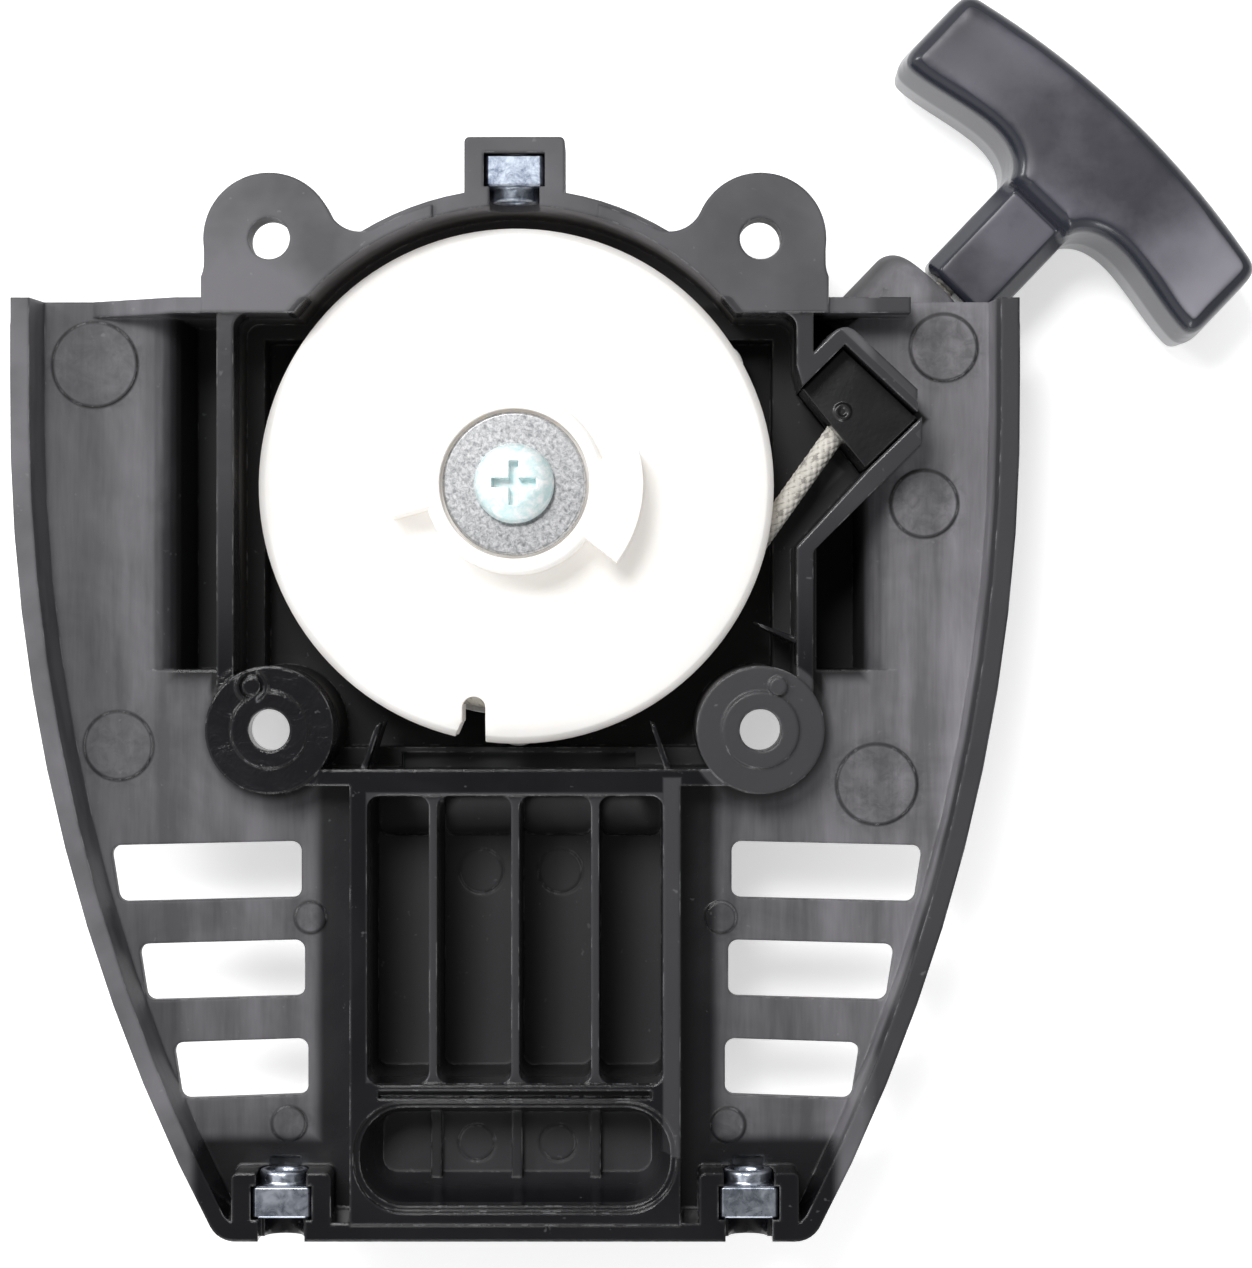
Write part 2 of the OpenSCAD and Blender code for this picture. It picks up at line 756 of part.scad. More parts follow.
module rope_wound() {
    color([0.86, 0.85, 0.8]) difference() {
        rod(0, 0, groove_bottom + 0.1, groove_top - 0.1, rope_off - 0.6);
        rod(0, 0, -20, 0, drum_r + 0.05);
    }
}

module reel_knot() {
    color([0.86, 0.85, 0.8]) rotate([0, 0, 60]) translate([15.5, 0, -11]) {
        sphere(r = 2.5, $fn = 48);
        rotate([0, 90, 0]) cylinder(h = 5.4, r = rope_r);
    }
}

// Route of the rope from the reel, through the guide and the boss: distance along its line, height
lead_route = [[9, -12], [16, -12], [23, -12], [27, -12.1], [31, -12.8], [36, -14.2], [41, -15.5],
    [45, -16.3], [49, -16.5], [54, -16.5]];
// Route of the rope inside the handle: along and across the handle's axis
tail_route = [[-1.5, -2.05], [1.5, -1.6], [5, -0.7], [9, 0], [16, 0], [knot_z0, 0]];

function lead_pt(p) = [rope_x + p[0] * cos(rope_angle), rope_y + p[0] * sin(rope_angle), p[1]];
function tail_pt(p) = [stem_end[0] + p[0] * cos(handle_angle) + p[1] * sin(handle_angle),
    stem_end[1] + p[0] * sin(handle_angle) - p[1] * cos(handle_angle), boss_z];

function unit(v) = v / norm(v);
function along(pts, i) = unit(pts[min(i + 1, len(pts) - 1)] - pts[max(i - 1, 0)]);

// A round tube swept along the points, with level ends
module tube(pts, r, sides) {
    n = len(pts);
    rings = [for (i = [0 : n - 1]) let (d = along(pts, i), u = unit(cross([0, 0, 1], d)), v = cross(d, u))
        for (k = [0 : sides - 1]) pts[i] + r * (cos(360 * k / sides) * u + sin(360 * k / sides) * v)];
    start = [for (k = [0 : sides - 1]) k];
    finish = [for (k = [sides - 1 : -1 : 0]) (n - 1) * sides + k];
    skin = [for (i = [0 : n - 2], k = [0 : sides - 1]) let (k2 = (k + 1) % sides)
        [i * sides + k, (i + 1) * sides + k, (i + 1) * sides + k2, i * sides + k2]];
    polyhedron(points = rings, faces = concat([start], skin, [finish]), convexity = 4);
}

module rope_lead() {
    color([0.88, 0.87, 0.82]) tube([for (p = lead_route) lead_pt(p)], rope_r, 8);
}

module rope_tail() {
    color([0.88, 0.87, 0.82]) tube([for (p = tail_route) tail_pt(p)], rope_r, 8);
}

// ---- Handle ----

// Places children in the handle's frame: X along its axis from the stem's end, Y to the lower right
module on_handle() {
    translate([stem_end[0], stem_end[1], boss_z]) rotate([0, 0, handle_angle]) mirror([0, 1, 0]) children();
}

function grip_arc(edge, half) = [for (i = [-5 : 5]) let (y = half * i / 5)
    [edge - grip_arc_r + sqrt(grip_arc_r * grip_arc_r - y * y), y]];

module grip_outline() {
    outer = grip_arc(grip_out, grip_half);
    inner = grip_arc(grip_in + 0.6, grip_half - 0.9);
    offset(r = 2.2, $fn = 32) offset(delta = -2.2)
        polygon(concat(outer, [for (i = [len(inner) - 1 : -1 : 0]) inner[i]]));
}

module stem_outline() {
    offset(r = -4, $fn = 32) offset(r = 4, $fn = 32) {
        translate([0, -stem_w / 2]) square([26, stem_w]);
        polygon([[stem_len, -stem_w / 2], [stem_len, stem_w / 2], [22, 9.5], [28, 9.5], [28, -9.5], [22, -9.5]]);
    }
}

module handle_grip() {
    color([0.06, 0.06, 0.065]) on_handle() difference() {
        union() {
            slab(-grip_t / 2, grip_t / 2) offset(r = -1.8, $fn = 32) grip_outline();
            slab(-grip_t / 2 + 0.7, grip_t / 2 - 0.7) offset(r = -0.7, $fn = 32) grip_outline();
            slab(-grip_t / 2 + 2.2, grip_t / 2 - 2.2) grip_outline();
            slab(-stem_t / 2, stem_t / 2) offset(delta = -0.7) stem_outline();
            slab(-stem_t / 2 + 0.7, stem_t / 2 - 0.7) stem_outline();
        }
        rotate([0, 90, 0]) cylinder(h = 30, r = 2);
        translate([-0.5, -2.2, 0]) rotate([0, 90, 0]) rotate([-14, 0, 0]) cylinder(h = 9, r1 = 3, r2 = 2.2);
        translate([knot_z0, -5.5, -4.6]) cube([20, 11, 9.2]);
    }
}

module handle_washer() {
    color([0.62, 0.63, 0.64]) on_handle() difference() {
        translate([knot_z0, 0, 0]) rotate([0, 90, 0]) cylinder(h = 1, r = 4.4);
        rotate([0, 90, 0]) cylinder(h = 40, r = rope_r + 0.2);
    }
}

module handle_knot() {
    color([0.86, 0.85, 0.8]) on_handle() {
        translate([knot_z0 + 4.1, 0, 0]) sphere(r = 3.1, $fn = 48);
        translate([knot_z0 + eps, 0, 0]) rotate([0, 90, 0]) cylinder(h = 4, r = rope_r);
    }
}

// ---- Captive nuts ----

// A square nut with its bore along Y and its collar towards +Y
module collar_nut() {
    difference() {
        union() {
            translate([-nut_w / 2, 0, -nut_w / 2]) cube([nut_w, nut_t, nut_w]);
            rotate([-90, 0, 0]) cylinder(h = nut_t + collar_t, r = collar_r);
        }
        translate([0, -1, 0]) rotate([-90, 0, 0]) cylinder(h = 10, r = nut_bore_r);
    }
}

module top_nut() {
    color([0.8, 0.81, 0.84]) translate([-0.1, top_nut_y, nut_z]) mirror([0, 1, 0]) collar_nut();
}

module left_nut() {
    color([0.8, 0.81, 0.84]) translate([-low_nut_x, low_nut_y, nut_z]) collar_nut();
}

module right_nut() {
    color([0.8, 0.81, 0.84]) translate([low_nut_x, low_nut_y, nut_z]) collar_nut();
}

housing();
rope_guide();
guide_eyelet();
spring_case();
spring_cover();
case_screws();
rewind_spring();
thrust_washer();
post_insert();
reel();
reel_bush();
retaining_washer();
center_screw();
rope_wound();
reel_knot();
rope_lead();
rope_tail();
handle_grip();
handle_washer();
handle_knot();
top_nut();
left_nut();
right_nut();
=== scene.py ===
# Recoil starter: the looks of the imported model, in metres, in the model's own frame.
import math

import bmesh
import bpy
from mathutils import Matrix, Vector


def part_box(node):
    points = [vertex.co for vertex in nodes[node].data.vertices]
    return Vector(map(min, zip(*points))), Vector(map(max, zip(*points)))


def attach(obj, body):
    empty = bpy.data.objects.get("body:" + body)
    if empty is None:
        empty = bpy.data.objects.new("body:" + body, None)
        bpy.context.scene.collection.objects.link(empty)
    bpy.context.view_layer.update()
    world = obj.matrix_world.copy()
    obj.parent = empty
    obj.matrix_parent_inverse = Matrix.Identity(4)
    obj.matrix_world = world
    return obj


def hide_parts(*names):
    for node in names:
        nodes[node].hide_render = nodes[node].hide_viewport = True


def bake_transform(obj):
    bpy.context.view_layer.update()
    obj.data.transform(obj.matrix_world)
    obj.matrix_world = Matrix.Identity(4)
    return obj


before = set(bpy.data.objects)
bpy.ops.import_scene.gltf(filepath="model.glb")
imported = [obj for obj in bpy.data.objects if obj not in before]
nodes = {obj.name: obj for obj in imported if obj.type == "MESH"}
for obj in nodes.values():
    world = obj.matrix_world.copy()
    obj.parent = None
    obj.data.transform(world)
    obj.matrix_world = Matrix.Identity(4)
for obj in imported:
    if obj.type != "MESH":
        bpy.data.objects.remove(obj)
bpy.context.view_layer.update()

MM = 0.001
ROPE_R = 1.5 * MM
ROPE_ANGLE = math.radians(54.5)
ROPE_OFF = 30.8 * MM
HANDLE_ANGLE = math.radians(46.3)
STEM_END = Vector((59.47, 26.2, -16.5)) * MM

# ---- Camera, floor and lights ----

CAMERA_HEIGHT = 0.470
SENSOR_WIDTH = 36.0
FRAME_CENTRE = Vector((0.0147, -0.0198, 0.0))
FRAME_SPAN = 0.1676
FLOOR_GAP = 0.00002
FLOOR_HALF = 1.5
FLOOR_COLOUR = (0.93, 0.93, 0.935, 1.0)
FLOOR_GLOW = 0.50
# Name, place, side in metres and power in watts
LIGHTS = [("key_light", (-0.20, 0.38, 0.92), 0.30, 6.0),
          ("left_light", (-0.55, 0.25, 0.45), 0.18, 1.6),
          ("low_light", (-0.10, -0.60, 0.40), 0.20, 0.8)]
# Brightness of the tent from the horizon up to straight overhead
TENT_STOPS = [(0.0, 0.70), (0.45, 1.0), (0.78, 0.60), (0.93, 0.20), (1.0, 0.12)]


def make_camera():
    """Looks straight down on the engine side, its frame FRAME_SPAN long at the mounting plane."""
    camera = bpy.data.cameras.new("camera")
    camera.sensor_width = SENSOR_WIDTH
    camera.lens = SENSOR_WIDTH * CAMERA_HEIGHT / FRAME_SPAN
    camera.clip_start = 0.01
    camera.clip_end = 10.0
    holder = bpy.data.objects.new("camera", camera)
    holder.location = FRAME_CENTRE + Vector((0, 0, CAMERA_HEIGHT))
    bpy.context.scene.collection.objects.link(holder)
    bpy.context.scene.camera = holder


def make_floor(z):
    """A large plain sheet of white paper at height z, which glows a little so that shadows stay faint."""
    corners = [(-1, -1), (1, -1), (1, 1), (-1, 1)]
    mesh = bpy.data.meshes.new("floor")
    mesh.from_pydata([(FLOOR_HALF * x, FLOOR_HALF * y, z) for x, y in corners], [], [(0, 1, 2, 3)])
    floor = bpy.data.objects.new("floor", mesh)
    bpy.context.scene.collection.objects.link(floor)
    paper, _, shader = start_material("floor_paper")
    shader.inputs["Roughness"].default_value = 0.8
    shader.inputs["Base Color"].default_value = FLOOR_COLOUR
    shader.inputs["Emission Color"].default_value = (1.0, 1.0, 1.0, 1.0)
    shader.inputs["Emission Strength"].default_value = FLOOR_GLOW
    mesh.materials.append(paper)


def area_light(name, place, size, power):
    """A square soft box at place that faces the middle of the object."""
    light = bpy.data.lights.new(name, "AREA")
    light.shape = "SQUARE"
    light.size = size
    light.energy = power
    holder = bpy.data.objects.new(name, light)
    holder.location = place
    holder.rotation_euler = (Vector(place) - FRAME_CENTRE).to_track_quat("Z", "Y").to_euler()
    bpy.context.scene.collection.objects.link(holder)


def make_world():
    """A white tent that is dark overhead, bright round the sides and dimmer towards the right."""
    world = bpy.data.worlds.new("studio")
    world.use_nodes = True
    tree = world.node_tree
    split = add_node(tree, "ShaderNodeSeparateXYZ")
    tree.links.new(add_node(tree, "ShaderNodeTexCoord").outputs["Generated"], split.inputs["Vector"])
    ramp = add_node(tree, "ShaderNodeValToRGB")
    tree.links.new(split.outputs["Z"], ramp.inputs["Fac"])
    set_ramp(ramp, TENT_STOPS)
    shade = remap(tree, split.outputs["X"], -0.1, 0.9, 1.0, 0.45)
    colour = mix_colour(tree, shade, (0.0, 0.0, 0.0), ramp.outputs["Color"])
    tree.links.new(colour, tree.nodes["Background"].inputs["Color"])
    bpy.context.scene.world = world
    bpy.context.scene.view_settings.view_transform = "Standard"


# ---- Material helpers ----

def start_material(name):
    """A new material, its node tree and its Principled shader."""
    material = bpy.data.materials.new(name)
    material.use_nodes = True
    tree = material.node_tree
    return material, tree, tree.nodes["Principled BSDF"]


def add_node(tree, kind, **settings):
    node = tree.nodes.new(kind)
    for name, value in settings.items():
        setattr(node, name, value)
    return node


def set_ramp(ramp, stops):
    """Grey stops: pairs of position and brightness."""
    elements = ramp.color_ramp.elements
    while len(elements) < len(stops):
        elements.new(0.5)
    for element, (place, value) in zip(elements, stops):
        element.position = place
        element.color = (value, value, value, 1.0)


def put(tree, socket, value):
    """Links value to the socket if it is an output, or else sets it."""
    if isinstance(value, bpy.types.NodeSocket):
        tree.links.new(value, socket)
    else:
        socket.default_value = value


def object_point(tree, stretch=(1.0, 1.0, 1.0)):
    """The point in the object's own frame, in metres, with each axis multiplied by stretch."""
    source = add_node(tree, "ShaderNodeTexCoord").outputs["Object"]
    mapping = add_node(tree, "ShaderNodeMapping")
    mapping.inputs["Scale"].default_value = stretch
    tree.links.new(source, mapping.inputs["Vector"])
    return mapping.outputs["Vector"]


def noise(tree, scale, detail=2.0, rough=0.5, point=None, warp=0.0):
    """Noise with scale features per metre."""
    node = add_node(tree, "ShaderNodeTexNoise")
    node.inputs["Scale"].default_value = scale
    node.inputs["Detail"].default_value = detail
    node.inputs["Roughness"].default_value = rough
    node.inputs["Distortion"].default_value = warp
    tree.links.new(point or object_point(tree), node.inputs["Vector"])
    return node.outputs["Fac"]


def remap(tree, value, low, high, to_low, to_high, smooth=False):
    """The value taken from the range low to high to the range to_low to to_high, and held there."""
    node = add_node(tree, "ShaderNodeMapRange")
    if smooth:
        node.interpolation_type = "SMOOTHSTEP"
    put(tree, node.inputs["Value"], value)
    for name, number in (("From Min", low), ("From Max", high), ("To Min", to_low), ("To Max", to_high)):
        node.inputs[name].default_value = number
    return node.outputs["Result"]


def maths(tree, operation, first, second=0.0):
    node = add_node(tree, "ShaderNodeMath", operation=operation)
    put(tree, node.inputs[0], first)
    put(tree, node.inputs[1], second)
    return node.outputs["Value"]


def times(tree, first, second):
    return maths(tree, "MULTIPLY", first, second)


def plus(tree, first, second):
    return maths(tree, "ADD", first, second)


def minus(tree, first, second):
    return maths(tree, "SUBTRACT", first, second)


def mix_colour(tree, factor, first, second):
    """From the first colour at factor 0 to the second one at factor 1."""
    node = add_node(tree, "ShaderNodeMix", data_type="RGBA")
    put(tree, node.inputs["Factor"], factor)
    for name, value in (("A", first), ("B", second)):
        socket = next(s for s in node.inputs if s.name == name and s.type == "RGBA")
        put(tree, socket, value if isinstance(value, bpy.types.NodeSocket) else (*value, 1.0))
    return next(s for s in node.outputs if s.type == "RGBA")


def mix_value(tree, factor, first, second):
    node = add_node(tree, "ShaderNodeMix", data_type="FLOAT")
    put(tree, node.inputs["Factor"], factor)
    put(tree, node.inputs["A"], first)
    put(tree, node.inputs["B"], second)
    return node.outputs["Result"]


def add_bump(tree, shader, height, depth, round_edges=0.0):
    """Bump of the given depth in metres, over edges that look rounded to the given radius."""
    node = add_node(tree, "ShaderNodeBump")
    node.inputs["Strength"].default_value = 1.0
    node.inputs["Distance"].default_value = depth
    if round_edges:
        bevel = add_node(tree, "ShaderNodeBevel", samples=6)
        bevel.inputs["Radius"].default_value = round_edges
        tree.links.new(bevel.outputs["Normal"], node.inputs["Normal"])
    tree.links.new(height, node.inputs["Height"])
    tree.links.new(node.outputs["Normal"], shader.inputs["Normal"])


def split_point(tree):
    split = add_node(tree, "ShaderNodeSeparateXYZ")
    tree.links.new(object_point(tree), split.inputs["Vector"])
    return split.outputs["X"], split.outputs["Y"], split.outputs["Z"]


def along_line(tree, point, start, angle):
    """Distance of the point in X and Y from start, along the direction of angle."""
    parts = [times(tree, minus(tree, point[i], start[i]), share)
             for i, share in ((0, math.cos(angle)), (1, math.sin(angle)))]
    return plus(tree, *parts)


def distance_to(tree, point, centre):
    """Distance of the point in X and Y from the centre."""
    squares = [maths(tree, "POWER", minus(tree, point[i], centre[i]), 2.0) for i in (0, 1)]
    return maths(tree, "SQRT", plus(tree, *squares))


def in_rect(tree, point, centre, half, soft, turn=0.0):
    """1 inside a rectangle in X and Y, falling to 0 over the width soft; in millimetres and degrees."""
    start = [c * MM for c in centre]
    angle = math.radians(turn)
    far = [minus(tree, maths(tree, "ABSOLUTE", along_line(tree, point, start, way)), size * MM)
           for way, size in ((angle, half[0]), (angle + math.pi / 2, half[1]))]
    return remap(tree, maths(tree, "MAXIMUM", *far), 0.0, soft * MM, 1.0, 0.0, smooth=True)


def in_circle(tree, point, centre, radius, soft):
    """1 inside a circle in X and Y, falling to 0 over the width soft; in millimetres."""
    distance = distance_to(tree, point, [c * MM for c in centre])
    return remap(tree, distance, radius * MM, (radius + soft) * MM, 1.0, 0.0, smooth=True)


def largest(tree, values):
    result = values[0]
    for value in values[1:]:
        result = maths(tree, "MAXIMUM", result, value)
    return result


def edge_mask(tree, radius, start, end):
    """From 0 on flat stretches to 1 along edges within radius."""
    bevel = add_node(tree, "ShaderNodeBevel", samples=4)
    bevel.inputs["Radius"].default_value = radius
    flat = add_node(tree, "ShaderNodeNewGeometry").outputs["Normal"]
    dot = add_node(tree, "ShaderNodeVectorMath", operation="DOT_PRODUCT")
    tree.links.new(bevel.outputs["Normal"], dot.inputs[0])
    tree.links.new(flat, dot.inputs[1])
    return remap(tree, dot.outputs["Value"], start, end, 0.0, 1.0)


# ---- Materials ----

# All of these are in millimetres
BOSS_AT = 32.5
BOSS_R = 8.8
RING_INNER = 37.5
# Round marks on the wings: X, Y and radius
WING_MARKS = [(57.4, 18.7, 4.5), (54.8, -2.3, 4.5), (48.4, -40, 5.4), (-56.7, 16.4, 5.7),
              (-53.5, -34.8, 4.6), (27.4, -57.9, 2.1), (28.4, -85.8, 2.3), (-27.7, -57.9, 2.1),
              (-30.6, -85.6, 2.3)]
# Glossy areas of the cover: centre, half size, soft border and turn in degrees
GLOSS_RECTS = [((0, -66.5), (25.8, 34.5), 2.2, 0),
               ((0, -4), (40.8, 28.5), 1, 0),
               ((-43, -1), (2.2, 23.6), 2.8, 0),
               ((43, -13), (2.6, 11.6), 2.4, 0),
               ((45, 10.5), (8.2, 5.8), 0.6, -43.5),
               ((45.5, 0), (9.8, 2), 0.6, 45),
               ((-32.5, -95), (9.2, 6.6), 2, 0),
               ((32.5, -95), (9.2, 6.6), 2, 0)]
DUCT_RECT = ((0, -70), (24, 29), 1)
VANE_RECT = ((0, -60), (19.5, 19), 0.4)
WALL_RECT = ((20.8, -64), (1, 25), 0.4)

# Colours of the cover, some as a pair from dark to light
SATIN = (0.052, 0.051, 0.056), (0.130, 0.126, 0.137)
# Painted light: the paler grey of the right wing
SATIN_LIT = (0.100, 0.097, 0.104), (0.225, 0.218, 0.235)
# Painted shade on the lugs and other raised parts, growing towards the right
LUG_PAINTED_SHADE = (0.036, 0.036, 0.042)
SATIN_OUTSIDE = (0.040, 0.039, 0.043)
# Painted shade on the top of the right rim
RIM_PAINTED_SHADE = (0.018, 0.018, 0.022)
GLOSS = (0.004, 0.004, 0.005), (0.011, 0.011, 0.013)
# Deep floors of the duct and box: a duller plastic, and painted paler as painted light in their shadow
DUCT_DULL_AND_LIT = (0.014, 0.014, 0.015), (0.040, 0.038, 0.043)
BOX_DULL_AND_LIT = (0.013, 0.013, 0.014)
# Painted sheen on the wall tops, a painted highlight on the vane tops, and the real matte grey of the right
# boss and the duct's right wall
PALE_TOPS_AND_MATTE = (0.050, 0.049, 0.053)
STAIN = (0.030, 0.029, 0.032)
MARK_LINE = (0.016, 0.016, 0.018)
CHIPPED = (0.34, 0.34, 0.35)


def mark_rings(tree, point):
    """1 along the rim of each round mark on the wings, and 1 on the stained plastic inside and round it."""
    rims, stains = [], []
    for x, y, radius in WING_MARKS:
        distance = distance_to(tree, point, (x * MM, y * MM))
        off = maths(tree, "ABSOLUTE", minus(tree, distance, radius * MM))
        rims.append(remap(tree, off, 0.12 * MM, 0.42 * MM, 1.0, 0.0, smooth=True))
        stains.append(remap(tree, distance, radius * MM, (radius + 2.4) * MM, 1.0, 0.0, smooth=True))
    return largest(tree, rims), largest(tree, stains)


def gloss_mask(tree, point):
    """1 round the reel, in the duct, on the lower bosses and by the lower nuts, and 0 elsewhere."""
    areas = [in_rect(tree, point, *area) for area in GLOSS_RECTS]
    areas += [in_circle(tree, point, (x, -BOSS_AT), BOSS_R, 1.6) for x in (-BOSS_AT, BOSS_AT)]
    below_lugs = remap(tree, point[1], 22.5 * MM, 23.2 * MM, 1.0, 0.0)
    in_ring = in_circle(tree, point, (0, 0), RING_INNER, 1)
    return times(tree, largest(tree, areas), largest(tree, [below_lugs, in_ring]))


def satin_colour(tree, point, tone, high):
    """The grey of the wings, rim and lugs, with painted light on the right wing and painted shade on the
    right lug and rim.
    """
    outside = remap(tree, point[2], -12.5 * MM, -10.5 * MM, 1.0, 0.0)
    # Painted shade: the top of the right rim is painted darker
    right_rim_shade = times(tree, remap(tree, point[2], -5 * MM, -3 * MM, 0.0, 1.0),
                   remap(tree, point[0], 46 * MM, 48 * MM, 0.0, 1.0))
    rims, stains = mark_rings(tree, point)
    blots = remap(tree, noise(tree, 480.0, 4.0, 0.7, warp=0.6), 0.40, 0.66, 0.0, 1.0)
    # Painted light: the right wing is painted paler towards the right
    lit = remap(tree, point[0], 30 * MM, 58 * MM, 0.0, 0.95, smooth=True)
    satin = mix_colour(tree, lit, mix_colour(tree, tone, *SATIN), mix_colour(tree, tone, *SATIN_LIT))
    for share, colour in (
            # painted shade: the raised parts are painted darker towards the right
            (times(tree, high, remap(tree, point[0], -34 * MM, 30 * MM, 0.0, 0.55)), LUG_PAINTED_SHADE),
            (outside, SATIN_OUTSIDE),
            (times(tree, times(tree, stains, blots), 0.48), STAIN),
            (times(tree, rims, 0.80), MARK_LINE),
            (times(tree, right_rim_shade, 0.92), RIM_PAINTED_SHADE)):
        satin = mix_colour(tree, share, satin, colour)
    return satin


def cover_black():
    """The cover: grey satin on the wings, rim and lugs, and glossy black round the reel and in the duct."""
    material, tree, shader = start_material("cover_black")
    point = split_point(tree)
    gloss = gloss_mask(tree, point)
    deep = remap(tree, point[2], -12 * MM, -7 * MM, 1.0, 0.0)
    high = remap(tree, point[2], -3.4 * MM, -2.2 * MM, 0.0, 1.0)
    in_duct = in_rect(tree, point, *DUCT_RECT)
    # Painted sheen: the wall tops are painted paler towards the top
    top_edge_sheen = times(tree, remap(tree, point[2], -2.2 * MM, -1.4 * MM, 0.0, 1.0),
                     remap(tree, point[1], -24 * MM, -2 * MM, 0.0, 0.8))
    # Painted highlight on the tops of the vanes
    vane_top_highlight = times(tree, remap(tree, point[2], -8.5 * MM, -7.5 * MM, 0.0, 0.75),
                      in_rect(tree, point, *VANE_RECT))
    right_boss = in_circle(tree, point, (BOSS_AT, -BOSS_AT), 9.4, 0.6)
    matte = times(tree, remap(tree, point[2], -12 * MM, -10 * MM, 0.0, 0.65),
                  largest(tree, [right_boss, in_rect(tree, point, *WALL_RECT)]))

    patches = noise(tree, 42.0, 4.0, 0.62, warp=0.8)
    grain = noise(tree, 1100.0, 3.0, 0.6)
    flow = noise(tree, 150.0, 5.0, 0.66, object_point(tree, (1.0, 0.10, 1.0)))
    streaks = mix_value(tree, high, flow, noise(tree, 70.0, 3.0, 0.5))
    tone = plus(tree, times(tree, patches, 0.35), times(tree, streaks, 0.65))
    satin = satin_colour(tree, point, remap(tree, tone, 0.40, 0.60, 0.0, 1.0), high)
    black = mix_colour(tree, patches, *GLOSS)
    black = mix_colour(tree, largest(tree, [top_edge_sheen, vane_top_highlight, matte]), black, PALE_TOPS_AND_MATTE)
    # Duller finish and painted light: the deep floors are painted paler than the glossy black
    dull_and_lit = mix_colour(tree, in_duct, BOX_DULL_AND_LIT, mix_colour(tree, flow, *DUCT_DULL_AND_LIT))
    base = mix_colour(tree, gloss, satin, mix_colour(tree, deep, black, dull_and_lit))

    chips = noise(tree, 420.0, 3.0, 0.7, object_point(tree, (1.0, 0.45, 1.0)))
    chips = remap(tree, chips, 0.52, 0.60, 0.0, 1.0)
    worn = times(tree, edge_mask(tree, 0.35 * MM, 0.97, 0.84), chips)
    specks = remap(tree, noise(tree, 620.0, 2.0, 0.7), 0.70, 0.76, 0.0, 1.0)
    marks = maths(tree, "MAXIMUM", times(tree, worn, 0.55), times(tree, specks, 0.16))
    tree.links.new(mix_colour(tree, marks, base, CHIPPED), shader.inputs["Base Color"])

    rough_satin = remap(tree, tone, 0.35, 0.65, 0.50, 0.64)
    rough_deep = remap(tree, in_duct, 0.0, 1.0, 0.72, 0.50)
    rough_black = mix_value(tree, deep, remap(tree, patches, 0.35, 0.65, 0.11, 0.22), rough_deep)
    rough_black = mix_value(tree, matte, rough_black, 0.45)
    tree.links.new(mix_value(tree, gloss, rough_satin, rough_black), shader.inputs["Roughness"])

    left_boss = in_circle(tree, point, (-BOSS_AT, -BOSS_AT), BOSS_R, 1.2)
    dents = times(tree, noise(tree, 330.0, 3.0, 0.6, warp=1.0), left_boss)
    height = plus(tree, plus(tree, grain, times(tree, flow, 0.8)), times(tree, dents, 9.0))
    add_bump(tree, shader, height, 0.014 * MM, 0.6 * MM)
    return material


def plain_black(name, dark, light, smooth, rough, depth, gate=None):
    """Moulded black plastic with a mottled sheen and a fine grain, and maybe a small round gate mark."""
    material, tree, shader = start_material(name)
    patches = noise(tree, 70.0, 4.0, 0.6, warp=0.5)
    swirl = noise(tree, 90.0, 2.0, 0.4)
    tree.links.new(mix_colour(tree, patches, dark, light), shader.inputs["Base Color"])
    tree.links.new(remap(tree, swirl, 0.35, 0.7, smooth, rough), shader.inputs["Roughness"])
    height = plus(tree, noise(tree, 1300.0, 3.0, 0.6), swirl)
    if gate:
        point = split_point(tree)
        ring = minus(tree, in_circle(tree, point, gate, 0.9, 0.5), in_circle(tree, point, gate, 0.3, 0.5))
        height = plus(tree, height, times(tree, ring, 12.0))
    add_bump(tree, shader, height, depth)
    return material


def handle_black():
    """Hard moulded plastic with rubs on its face; painted reflections make it paler where it faces up, paler
    still towards one end of the bar, and dark where it turns away, which is also glossier.
    """
    material, tree, shader = start_material("handle_black")
    # Painted reflections: faces turned up are painted paler, faces turned away are painted dark
    turned = add_node(tree, "ShaderNodeSeparateXYZ")
    tree.links.new(add_node(tree, "ShaderNodeNewGeometry").outputs["Normal"], turned.inputs["Vector"])
    face = remap(tree, turned.outputs["Z"], 0.93, 0.995, 0.0, 1.0, smooth=True)
    # Broad painted reflection patches; the rubs are real wear
    reflection_clouds = noise(tree, 70.0, 1.0, 0.4, warp=0.3)
    rubs = noise(tree, 260.0, 4.0, 0.65)
    tone = remap(tree, plus(tree, reflection_clouds, times(tree, rubs, 0.20)), 0.48, 0.76, 0.0, 1.0)
    pale_sheen = mix_colour(tree, tone, (0.034, 0.033, 0.044), (0.100, 0.096, 0.118))
    across = along_line(tree, split_point(tree), STEM_END, HANDLE_ANGLE - math.pi / 2)
    # Painted light towards one end of the bar
    lit_end = remap(tree, across, 10 * MM, 26 * MM, 0.0, 0.85, smooth=True)
    pale_sheen = mix_colour(tree, lit_end, pale_sheen, (0.270, 0.260, 0.295))
    dark = mix_colour(tree, reflection_clouds, (0.014, 0.016, 0.024), (0.030, 0.032, 0.044))
    tree.links.new(mix_colour(tree, face, dark, pale_sheen), shader.inputs["Base Color"])
    rough = mix_value(tree, face, 0.24, remap(tree, rubs, 0.3, 0.7, 0.34, 0.52))
    tree.links.new(rough, shader.inputs["Roughness"])
    add_bump(tree, shader, plus(tree, rubs, noise(tree, 1500.0, 2.0, 0.6)), 0.006 * MM)
    return material


